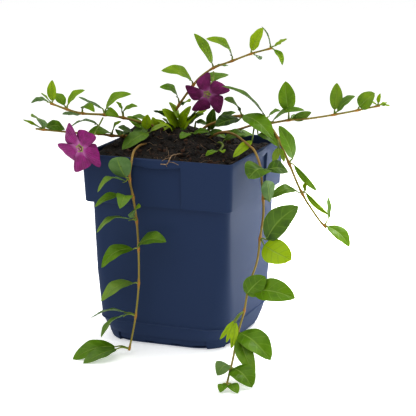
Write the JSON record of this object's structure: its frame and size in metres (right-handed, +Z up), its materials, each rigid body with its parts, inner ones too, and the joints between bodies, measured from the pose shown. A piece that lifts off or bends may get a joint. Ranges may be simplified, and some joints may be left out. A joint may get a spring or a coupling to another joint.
{
  "type": "potted periwinkle",
  "caption": "Lesser periwinkle with purple flowers and trailing leafy runners, growing in a square dark blue nursery pot.",
  "frame": {"origin": "middle of the pot's flat base, at the level it stands on", "axes": "+Z up, X and Y square to the pot's sides, -Y towards the side the trailing runners hang over"},
  "size_m": [0.2023, 0.1621, 0.1928],
  "materials": {
    "pot_plastic": "satin moulded plastic, dark blue",
    "soil": "moist fibrous potting compost",
    "runner_stem": "thin tan brown stem",
    "leaf": "glossy green leaf",
    "young_leaf": "pale young leaf",
    "petal": "soft wine purple petal",
    "calyx_green": "soft green stalk",
    "root": "dry pale root"
  },
  "bodies": {
    "root": {"calyx_and_stalk_front": "calyx_green", "calyx_and_stalk_left": "calyx_green", "corolla_front": "petal", "corolla_left": "petal", "crown_front_shoot": "young_leaf", "crown_left_shoot": "young_leaf", "crown_rosette": "young_leaf", "leaves_left_trailing_1": "leaf", "leaves_left_trailing_2": "leaf", "leaves_left_trailing_3": "leaf", "leaves_left_trailing_4": "leaf", "leaves_left_trailing_5": "leaf", "leaves_left_trailing_6": "leaf", "leaves_left_trailing_7": "leaf", "leaves_long_right_1": "leaf", "leaves_long_right_2": "leaf", "leaves_long_right_3": "leaf", "leaves_long_right_4": "leaf", "leaves_long_right_tip": "leaf", "leaves_lower_left_1": "leaf", "leaves_lower_left_2": "leaf", "leaves_lower_left_3": "leaf", "leaves_lower_left_tip": "leaf", "leaves_right_arching_1": "leaf", "leaves_right_arching_2": "leaf", "leaves_right_arching_3": "leaf", "leaves_right_arching_4": "leaf", "leaves_right_arching_tip": "leaf", "leaves_right_trailing_1": "leaf", "leaves_right_trailing_2": "leaf", "leaves_right_trailing_3": "leaf", "leaves_right_trailing_4": "leaf", "leaves_right_trailing_5": "leaf", "leaves_right_trailing_6": "leaf", "leaves_right_trailing_7": "leaf", "leaves_upper_left_1": "leaf", "leaves_upper_left_2": "leaf", "leaves_upper_left_3": "leaf", "leaves_upper_left_4": "leaf", "leaves_upper_left_tip": "leaf", "leaves_upright_1": "leaf", "leaves_upright_2": "leaf", "leaves_upright_3": "leaf", "leaves_upright_4": "leaf", "leaves_upright_5": "leaf", "leaves_upright_tip": "leaf", "pot": "pot_plastic", "potting_soil": "soil", "root_over_rim": "root", "runner_left_trailing": "runner_stem", "runner_long_right": "runner_stem", "runner_lower_left": "runner_stem", "runner_right_arching": "runner_stem", "runner_right_trailing": "runner_stem", "runner_upper_left": "runner_stem", "runner_upright": "runner_stem", "shoot_front": "young_leaf", "shoot_hanging": "young_leaf", "shoot_pale": "young_leaf", "side_shoot_right_trailing": "young_leaf"}
  },
  "joints": []
}
